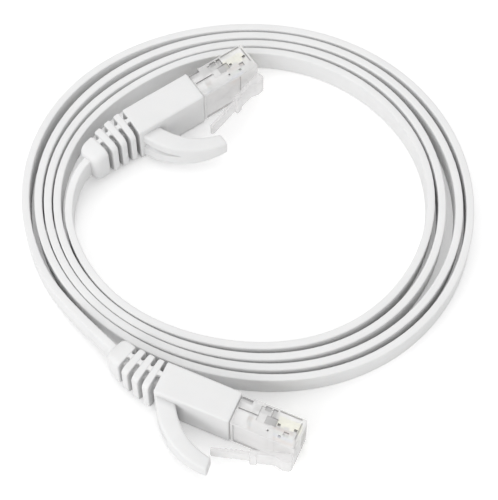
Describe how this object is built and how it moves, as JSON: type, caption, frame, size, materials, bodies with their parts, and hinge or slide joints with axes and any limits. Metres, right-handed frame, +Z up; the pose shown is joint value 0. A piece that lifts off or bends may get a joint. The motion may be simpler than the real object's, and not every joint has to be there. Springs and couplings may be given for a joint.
{
  "type": "ethernet patch cable",
  "caption": "Flat ethernet patch cable coiled on its edge, with a clear modular plug, ribbed boot and latch guard on each end.",
  "frame": {"origin": "middle of the whole cable's footprint, on the ground that the coil and both boots stand on", "axes": "+Z up, across the flat cable's width; +X is the way the outer plug points"},
  "size_m": [0.1107, 0.1205, 0.0126],
  "materials": {
    "white_jacket": "satin",
    "white_boot": "satin",
    "clear_housing": "clear gloss",
    "clear_comb": "clear",
    "gold_contacts": "gold plate",
    "insulation_orange": "satin",
    "insulation_green": "satin",
    "insulation_blue": "satin",
    "insulation_brown": "satin"
  },
  "bodies": {
    "coil": {"cable_jacket": "white_jacket", "pair_orange": "insulation_orange", "pair_green": "insulation_green", "pair_blue": "insulation_blue", "pair_brown": "insulation_brown", "outer_strain_relief": "white_boot", "inner_strain_relief": "white_boot"},
    "outer_plug": {"outer_jacket_end": "white_jacket", "outer_wires_orange": "insulation_orange", "outer_wires_green": "insulation_green", "outer_wires_blue": "insulation_blue", "outer_wires_brown": "insulation_brown", "outer_housing": "clear_housing", "outer_contacts": "gold_contacts", "outer_load_bar": "clear_comb", "outer_clamp_bar": "clear_comb", "outer_boot": "white_boot"},
    "outer_lever": {"outer_latch": "clear_housing"},
    "outer_arm": {"outer_guard": "white_boot"},
    "inner_plug": {"inner_jacket_end": "white_jacket", "inner_wires_orange": "insulation_orange", "inner_wires_green": "insulation_green", "inner_wires_blue": "insulation_blue", "inner_wires_brown": "insulation_brown", "inner_housing": "clear_housing", "inner_contacts": "gold_contacts", "inner_load_bar": "clear_comb", "inner_clamp_bar": "clear_comb", "inner_boot": "white_boot"},
    "inner_lever": {"inner_latch": "clear_housing"},
    "inner_arm": {"inner_guard": "white_boot"}
  },
  "joints": [
    {"name": "outer_flex", "type": "hinge", "parent": "coil", "child": "outer_plug", "pos_m": [0.00054, -0.04427, 0.0063], "axis": [0, 0, 1], "range_deg": [-20, 8]},
    {"name": "outer_guard_press", "type": "hinge", "parent": "outer_plug", "child": "outer_arm", "pos_m": [0.00574, -0.05112, 0.0063], "axis": [0, 0, 1], "range_deg": [0, 21]},
    {"name": "outer_latch_press", "type": "hinge", "parent": "outer_plug", "child": "outer_lever", "pos_m": [0.03624, -0.04892, 0.0063], "axis": [0, 0, 1], "range_deg": [-11.2, 0]},
    {"name": "inner_flex", "type": "hinge", "parent": "coil", "child": "inner_plug", "pos_m": [-0.03443, 0.01364, 0.0063], "axis": [0, 0, 1], "range_deg": [-20, 0]},
    {"name": "inner_guard_press", "type": "hinge", "parent": "inner_plug", "child": "inner_arm", "pos_m": [-0.02587, 0.01439, 0.0063], "axis": [0, 0, 1], "range_deg": [0, 26]},
    {"name": "inner_latch_press", "type": "hinge", "parent": "inner_plug", "child": "inner_lever", "pos_m": [-0.01147, 0.04137, 0.0063], "axis": [0, 0, 1], "range_deg": [-14, 0]}
  ],
  "couplings": [
    {"joint": "outer_latch_press", "follows": "outer_guard_press", "ratio": -0.53},
    {"joint": "inner_latch_press", "follows": "inner_guard_press", "ratio": -0.53}
  ]
}
